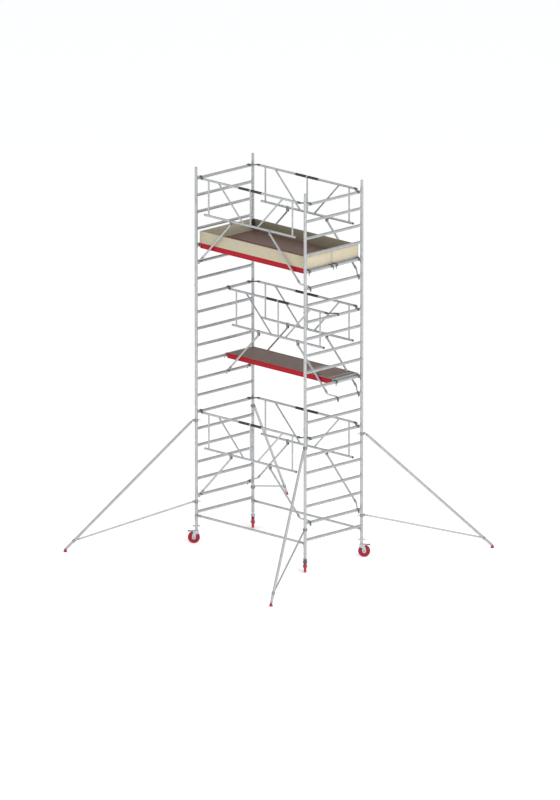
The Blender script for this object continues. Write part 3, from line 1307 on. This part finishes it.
def castor_fork():
    eye, front, back = 0.0325, 0.055, -0.035
    tangent = [(castor_trail + eye * math.cos(math.radians(a)), axle_z + eye * math.sin(math.radians(a)))
               for a in range(188, 353, 11)]
    outline = tangent + [
        (castor_trail + eye, axle_z + 0.006), (castor_trail + 0.026, axle_z + 0.05),
        (front - 0.002, crown_z - 0.024), (front, crown_z - 0.012), (front, crown_z + 0.0035),
        (back, crown_z + 0.0035), (back, crown_z - 0.02), (back + 0.012, crown_z - 0.04),
        (castor_trail - 0.034, axle_z + 0.05), (castor_trail - eye, axle_z + 0.006),
    ]
    parts = []
    fork_half = fork_gap / 2 + fork_t
    for s in (-1, 1):
        outwards = Matrix.Translation((castor_trail, s * fork_half, axle_z)) @ Matrix.Rotation(
            math.radians(-90 * s), 4, "X")
        side = plate(outline, fork_t, zinc, 0.0014, 3)
        parts.append(moved(side, Matrix.Translation((0, s * (fork_gap + fork_t) / 2, 0))))
        rib = [(castor_trail - 0.012, axle_z + 0.03), (castor_trail + 0.012, axle_z + 0.03),
               (0.03, crown_z - 0.022), (-0.008, crown_z - 0.022)]
        parts.append(moved(plate(rib, 0.0026, zinc, 0.0011, 2),
                           Matrix.Translation((0, s * (fork_half + 0.0008), 0))))
        washer = turned([(0.0078, 0), (0.0168, 0), (0.0168, 0.0014), (0.016, 0.0021), (0.0078, 0.0021)], zinc,
                        32, closed=True)
        parts.append(moved(washer, outwards))
        nut = hex_head(0.0138, 0.0055, spring_steel)
        parts.append(moved(nut, Matrix.Translation((castor_trail, s * (fork_half + 0.0045), axle_z))
                           @ across))
        end = turned([(0.0, 0.0086), (0.0062, 0.0086), (0.0072, 0.0078), (0.0072, 0.0)], zinc, 24)
        parts.append(moved(end, outwards))
    crown = plate([(back, -fork_half), (front, -fork_half), (front, fork_half), (back, fork_half)], 0.008,
                  zinc, 0.003, 3)
    crown = moved(crown, across)
    parts.append(moved(crown, Matrix.Translation((0, 0, crown_z + 0.004))))
    parts.append(turned([
        (0.0101, crown_z + 0.0015), (0.0255, crown_z + 0.007), (0.0298, crown_z + 0.0085),
        (0.03, crown_z + 0.0115), (0.0285, crown_z + 0.0125), (0.0275, crown_z + 0.0135),
        (0.0275, crown_z + 0.0155), (0.0292, crown_z + 0.0165), (0.0292, crown_z + 0.0195),
        (0.0282, crown_z + 0.0208), (0.0101, crown_z + 0.0208),
    ], zinc, 56, closed=True))
    axle = turned([(0.0077, -fork_half), (0.0077, fork_half)], zinc, 24)
    parts.append(moved(axle, Matrix.Translation((castor_trail, 0, axle_z)) @ across))
    pin = turned([(0, -0.0298), (0.003, -0.0298), (0.0034, -0.0292), (0.0034, 0.0292), (0.003, 0.0298),
                  (0, 0.0298)],
                 spring_steel, 20)
    parts.append(moved(pin, Matrix.Translation((0.064, 0, crown_z + 0.004)) @ across))
    for s in (-1, 1):
        lug = plate([(0.05, crown_z - 0.003), (0.066, crown_z - 0.004), (0.072, crown_z),
                     (0.0725, crown_z + 0.006), (0.068, crown_z + 0.0105),
                     (0.05, crown_z + 0.0082)], 0.004, zinc, 0.0008, 2)
        parts.append(moved(lug, Matrix.Translation((0, s * 0.028, 0))))
    return joined(parts, "fork")


def brake_pedal():
    """Bent plate with a wide tread and lip, two pressed ribs, a hinge barrel and a rubber pad."""
    x, z = 0.064, crown_z + 0.004
    section = [
        (x + 0.0362, z - 0.005), (x + 0.07, z - 0.005), (x + 0.0722, z - 0.0066), (x + 0.0722, z - 0.032),
        (x + 0.076, z - 0.032), (x + 0.076, z - 0.004), (x + 0.0735, z - 0.0012), (x + 0.07, z - 0.001),
        (x + 0.0362, z - 0.001),
    ]
    neck = [(x + 0.003, z - 0.005), (x + 0.04, z - 0.005), (x + 0.04, z - 0.001), (x + 0.003, z - 0.001)]
    parts = [plate(section, 0.07, pedal_steel, 0.0009, 2), plate(neck, 0.036, pedal_steel, 0.0009, 2)]
    barrel = turned([(0.0036, -0.023), (0.006, -0.023), (0.0065, -0.0224), (0.0065, 0.0224), (0.006, 0.023),
                     (0.0036, 0.023)],
                    pedal_steel, 28, closed=True)
    parts.append(moved(barrel, Matrix.Translation((x, 0, z)) @ across))
    for y in (-0.009, 0.009):
        parts.append(block((x + 0.01, y - 0.002, z - 0.0012), (x + 0.066, y + 0.002, z + 0.0008), pedal_steel,
                           0.0009, 2))
    for i in range(9):
        y = -0.027 + i * 0.00675
        parts.append(block((x + 0.0755, y - 0.0013, z - 0.028), (x + 0.0772, y + 0.0013, z - 0.01),
                           pedal_steel, 0.0005, 1))
    parts.append(block((x + 0.016, -0.016, 0.1975), (x + 0.031, 0.016, z - 0.0045), rubber, 0.0015, 2))
    return joined(parts, "pedal")


def adjusting_leg():
    """The king pin and collar, the tube with its rolled thread, and the guide in the upright."""
    start, stop, top = 0.264, 0.52, leg_high.z
    parts = [turned([
        (0, 0.1985), (0.0136, 0.1985), (0.0139, 0.199), (0.0139, 0.2042), (0.0098, 0.2045), (0.0098, 0.2264),
        (0.0245, 0.2264), (0.026, 0.2276), (0.026, 0.2332), (0.0235, 0.2352), (0.0235, 0.2508),
        (0.0252, 0.2526), (0.0252, 0.2588), (0.024, 0.26), (0.0165, 0.26), (0.0148, 0.264),
    ], zinc, 48)]
    root = screw_r - 0.0016
    turn = sketch([
        (root, 0, start), (root, 0, start + 0.0008), (screw_r - 0.0002, 0, start + 0.0027),
        (screw_r, 0, start + 0.0031), (screw_r, 0, start + 0.0049), (screw_r - 0.0002, 0, start + 0.0053),
        (root, 0, start + 0.0072), (root, 0, start + screw_pitch),
    ], closed=False)
    bpy.ops.object.mode_set(mode="OBJECT")
    turns = int((stop - start) / screw_pitch)
    apply_modifier(turn, "SCREW", axis="Z", screw_offset=screw_pitch, iterations=turns, steps=24,
                   render_steps=24,
                   use_merge_vertices=True, merge_threshold=0.00001, use_normal_calculate=True)
    if sum(face.normal.dot(Vector((face.center.x, face.center.y, 0))) for face in turn.data.polygons) < 0:
        turn.data.flip_normals()
    parts.append(painted(turn, zinc))
    parts.append(turned([(root - 0.0002, start - 0.001), (root - 0.0002, stop + 0.01), (0.0155, stop + 0.012),
                         (0.0155, top - 0.042), (0.023, top - 0.04), (0.0233, top - 0.038),
                         (0.0233, top - 0.002), (0.0228, top), (0.0122, top), (0.0118, top - 0.002),
                         (0.0118, stop)], zinc, 40))
    return joined(parts, "leg")


def levelling_nut():
    z = nut_low.z
    parts = [turned([
        (screw_r + 0.0004, z + 0.001), (screw_r + 0.0014, z), (0.0265, z), (0.028, z + 0.0015),
        (0.028, z + 0.006), (0.0266, z + 0.0075), (0.0266, z + 0.0265), (0.029, z + 0.0285),
        (0.029, nut_high.z - 0.001), (0.028, nut_high.z), (screw_r + 0.0014, nut_high.z),
        (screw_r + 0.0004, nut_high.z - 0.001),
    ], zinc, 48, closed=True)]
    wing = [(0.02, -0.0065), (0.034, -0.0048), (0.052, -0.0052)] + arc(0.0575, 0, 0.0074, 225, 495,
                                                                       14)[1:-1] + [
        (0.052, 0.0052), (0.034, 0.0048), (0.02, 0.0065)]
    for s in (0, 180):
        piece = moved(plate(wing, 0.021, zinc, 0.0028, 3), across)
        parts.append(moved(piece, Matrix.Rotation(math.radians(s), 4, "Z")
                           @ Matrix.Translation((0, 0, z + 0.015))))
    return joined(parts, "nut")


pedal_steel = zinc_plate("pedal_steel", (0.1, 0.1, 0.105), (0.19, 0.19, 0.2))
castor_parts = {
    "wheel": (castor_wheel(), "wheel_plastic"), "fork": (castor_fork(), "zinc_steel"),
    "pedal": (brake_pedal(), "pedal_steel"),
    "leg": (adjusting_leg(), "zinc_steel"), "nut": (levelling_nut(), "zinc_steel"),
}
corners = [("front_left", -1, -1), ("front_right", 1, -1), ("back_left", -1, 1), ("back_right", 1, 1)]
for corner, x, y in corners:
    for part, (master, finish) in castor_parts.items():
        body = corner + "_" + part
        fitted(copy_to(master, body + "_detail", castor_place(x, y)), body, finish, body)
for master, finish in castor_parts.values():
    discard(master)


# ---- Stabilisers ----
# Four outriggers of aluminium tube. Each has a long arm and a lower strut, hung on ring clamps
# that are cast in two halves and pulled tight by a winged bolt, and a crimson rubber foot on a
# ball. The strut ends in a saddle that is bolted round the arm.
arm_d = 0.045
strut_d = 0.028
upper_clamp_z = 2.07
lower_clamp_z = 0.7
clamp_h = 0.05
arm_pin_x = 0.062
reach = 2.2
foot_pin_z = 0.04
bearing = 59.5
arm_top = Vector((arm_pin_x, 0, upper_clamp_z))
arm_foot = Vector((reach, 0, foot_pin_z))
arm_dir = (arm_foot - arm_top).normalized()
strut_top = Vector((arm_pin_x - 0.004, 0, lower_clamp_z))
strut_foot = arm_foot - 0.2 * arm_dir
strut_dir = (strut_foot - strut_top).normalized()


def stabiliser_place(x, y):
    angle = y * bearing if x > 0 else 180 - y * bearing
    return at(x * half_l, y * half_w, 0, angle)


def aimed(direction, place):
    """Turns what is drawn along Z to run along a direction from a place."""
    return Matrix.Translation(place) @ direction.to_track_quat("Z", "Y").to_matrix().to_4x4()


def stabiliser_tubes():
    return joined([
        tube(arm_top + 0.034 * arm_dir, arm_foot - 0.03 * arm_dir, arm_d, 0.0025, 48),
        tube(strut_top + 0.034 * strut_dir, strut_foot - 0.09 * strut_dir, strut_d, tube_wall, 36),
    ], "stabiliser_tubes")


def ring_clamp(z, pin_x, direction, tube_r):
    """Two cast halves with a hinge lug, ears that hold the tube's pin and a winged bolt."""
    inner, h = upright_r + 0.0004, clamp_h / 2
    outer = upright_r + 0.008
    ring = turned([
        (inner, -h + 0.001), (inner + 0.001, -h), (outer - 0.003, -h), (outer, -h + 0.003),
        (outer, -h + 0.011), (outer - 0.0032, -h + 0.014), (outer - 0.0032, h - 0.014), (outer, h - 0.011),
        (outer, h - 0.003), (outer - 0.003, h), (inner + 0.001, h), (inner, h - 0.001),
    ], pale_casting, 56, closed=True)
    parts = [moved(ring, Matrix.Translation((0, 0, z)))]
    ear = [(upright_r + 0.002, -0.018), (pin_x + 0.002, -0.018)] + arc(pin_x, 0, 0.0145, -70, 70, 12) + [
        (pin_x + 0.002, 0.018), (upright_r + 0.002, 0.018)]
    for s in (-1, 1):
        parts.append(moved(plate(ear, 0.005, pale_casting, 0.0014, 2), Matrix.Translation((0, s * 0.011, z))))
        head = turned([(0, 0.0052), (0.0055, 0.005), (0.0075, 0.0035), (0.0075, 0.0012), (0.0098, 0.001),
                       (0.0098, 0)], zinc, 24)
        turn = Matrix.Rotation(math.radians(-90 * s), 4, "X")
        parts.append(moved(head, Matrix.Translation((pin_x, s * 0.0135, z)) @ turn))
    for s in (-1, 1):
        lug = [(-0.012, -0.016), (0.012, -0.016), (0.012, 0.016), (-0.012, 0.016)]
        parts.append(moved(plate(lug, 0.006, pale_casting, 0.002, 2),
                           Matrix.Translation((0, s * (outer + 0.0012), z))))
    stem_l = 0.6 * (outer + 0.03)
    stem = turned([(0, 0), (0.0052, 0), (0.0052, stem_l), (0, stem_l)], zinc, 20)
    parts.append(moved(stem, Matrix.Translation((0, 0, z)) @ Matrix.Rotation(math.radians(-90), 4, "Y")
                       @ Matrix.Translation((0, 0, inner))))
    hub = turned([(0, 0.012), (0.006, 0.012), (0.008, 0.01), (0.0098, 0.002), (0.0098, 0), (0, 0)],
                 pale_casting, 24)
    parts.append(moved(hub, Matrix.Translation((-outer - 0.022, 0, z))
                       @ Matrix.Rotation(math.radians(-90), 4, "Y")))
    wings = arc(0.0195, 0, 0.0045, -80, 80, 8) + [(0.006, 0.0042), (-0.006, 0.0042)] + arc(-0.0195, 0, 0.0045,
                                                                                           100, 260, 8) + [
        (-0.006, -0.0042), (0.006, -0.0042)]
    wing = moved(plate(wings, 0.007, pale_casting, 0.0018, 2), Matrix.Rotation(math.radians(90), 4, "Z")
                 @ across)
    parts.append(moved(wing, Matrix.Translation((-outer - 0.028, 0, z))
                       @ Matrix.Rotation(math.radians(90), 4, "Y")))
    eye_at = Vector((pin_x, 0, z))
    boss = turned([(0.006, -0.0082), (0.0112, -0.0082), (0.0122, -0.007), (0.0122, 0.007), (0.0112, 0.0082),
                   (0.006, 0.0082)],
                  pale_casting, 28, closed=True)
    parts.append(moved(boss, Matrix.Translation(eye_at) @ across))
    plug = turned([(0.0068, 0.008), (0.0082, 0.014), (0.0098, 0.022), (tube_r - 0.004, 0.028),
                   (tube_r - 0.0004, 0.03), (tube_r - 0.0004, 0.036), (tube_r - 0.003, 0.037),
                   (0, 0.037)], pale_casting, 36)
    parts.append(moved(plug, aimed(direction, eye_at)))
    return parts


def stabiliser_fittings():
    parts = ring_clamp(upper_clamp_z, arm_pin_x, arm_dir, arm_d / 2)
    parts += ring_clamp(lower_clamp_z, strut_top.x, strut_dir, strut_d / 2)
    r = arm_d / 2
    saddle = turned([
        (r + 0.0002, -0.022), (r + 0.0048, -0.022), (r + 0.006, -0.0205), (r + 0.006, -0.013),
        (r + 0.0036, -0.0105), (r + 0.0036, 0.0105), (r + 0.006, 0.013), (r + 0.006, 0.0205),
        (r + 0.0048, 0.022), (r + 0.0002, 0.022),
    ], pale_casting, 48, closed=True)
    parts.append(moved(saddle, aimed(arm_dir, strut_foot)))
    parts.append(moved(turned([(0.0, 0.0), (0.0138, 0.0), (0.0138, -0.004), (0.0118, -0.008), (0.0105, -0.02),
                               (0.0105, -0.062), (0.0, -0.062)], pale_casting, 28),
                       aimed(-strut_dir, strut_foot - 0.095 * strut_dir)))
    for s in (-1, 1):
        head = turned([(0, 0.0045), (0.004, 0.0042), (0.0062, 0.0028), (0.0066, 0)], zinc, 18)
        spot = strut_foot + Vector((0, s * (r + 0.0035), 0))
        parts.append(moved(head, Matrix.Translation(spot) @ Matrix.Rotation(math.radians(-90 * s), 4, "X")))
    socket = turned([(0, 0.004), (0.0188, 0.004), (0.0195, 0.008), (0.0195, 0.027), (r - 0.0004, 0.03),
                     (r - 0.0004, 0.036), (r - 0.003, 0.037), (0, 0.037)], pale_casting, 40)
    parts.append(moved(socket, aimed(-arm_dir, arm_foot)))
    return joined(parts, "stabiliser_castings")


def rubber_foot():
    """A cone that turns on the ball, with a ribbed sole."""
    foot_r, top = 0.03, foot_pin_z
    parts = [turned([
        (0, 0.0), (0.006, 0.0), (0.007, 0.0012), (0.0095, 0.0012), (0.0105, 0.0), (0.0155, 0.0),
        (0.0165, 0.0012), (0.019, 0.0012), (0.02, 0.0), (0.0285, 0.0), (foot_r, 0.0015), (foot_r, 0.007),
        (0.0286, 0.0085), (foot_r, 0.01), (foot_r, 0.0148), (0.0285, 0.0172), (0.0262, 0.0215),
        (0.0256, 0.0238), (0.0222, 0.0335), (0.0212, top - 0.0015), (0.0205, top), (0, top),
    ], crimson_plastic, 56)]
    ball = turned([(0.0206 * math.cos(math.radians(a)),
                    0.0206 * math.sin(math.radians(a))) for a in range(-30, 91, 10)],
                  crimson_plastic, 48)
    parts.append(moved(ball, Matrix.Translation((0, 0, top))))
    return moved(joined(parts, "foot"), Matrix.Translation((reach, 0, 0)))


stabiliser_parts = [
    (stabiliser_tubes(), "tubes", "tower_aluminium", "_stabiliser"),
    (stabiliser_fittings(), "castings", "claw_casting", "_stabiliser_fittings"),
    (rubber_foot(), "foot", "wheel_plastic", "_stabiliser_fittings"),
]
for corner, x, y in corners:
    for master, part, finish, node in stabiliser_parts:
        piece = copy_to(master, corner + "_stabiliser_" + part, stabiliser_place(x, y))
        fitted(piece, corner + "_stabiliser", finish, corner + node)
for master, part, finish, node in stabiliser_parts:
    discard(master)
